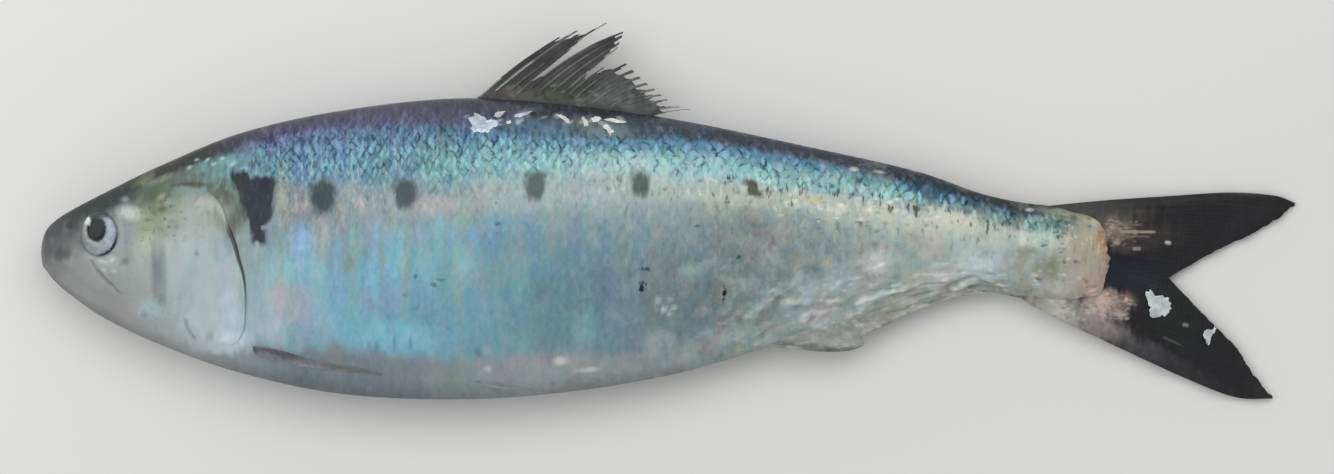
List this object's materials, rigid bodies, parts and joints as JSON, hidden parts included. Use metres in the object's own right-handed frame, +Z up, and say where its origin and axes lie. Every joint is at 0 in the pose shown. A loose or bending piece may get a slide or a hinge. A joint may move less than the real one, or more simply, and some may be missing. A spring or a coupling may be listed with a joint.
{
  "type": "twaite shad",
  "caption": "Whole raw silver fish lying on its side, with a dark shoulder blotch, a row of faint flank spots and a forked tail.",
  "frame": {"origin": "centre of the fish's bounding box in X and Y, on the surface it lies on", "axes": "+X from the snout to the tail, +Y from the belly to the back, +Z up out of the left flank, which shows"},
  "size_m": [0.17, 0.051, 0.016],
  "materials": {
    "fish_skin": null,
    "fish_eye": null
  },
  "bodies": {
    "root": {"fish": "fish_skin", "eye_left": "fish_eye", "eye_right": "fish_eye"}
  },
  "joints": []
}
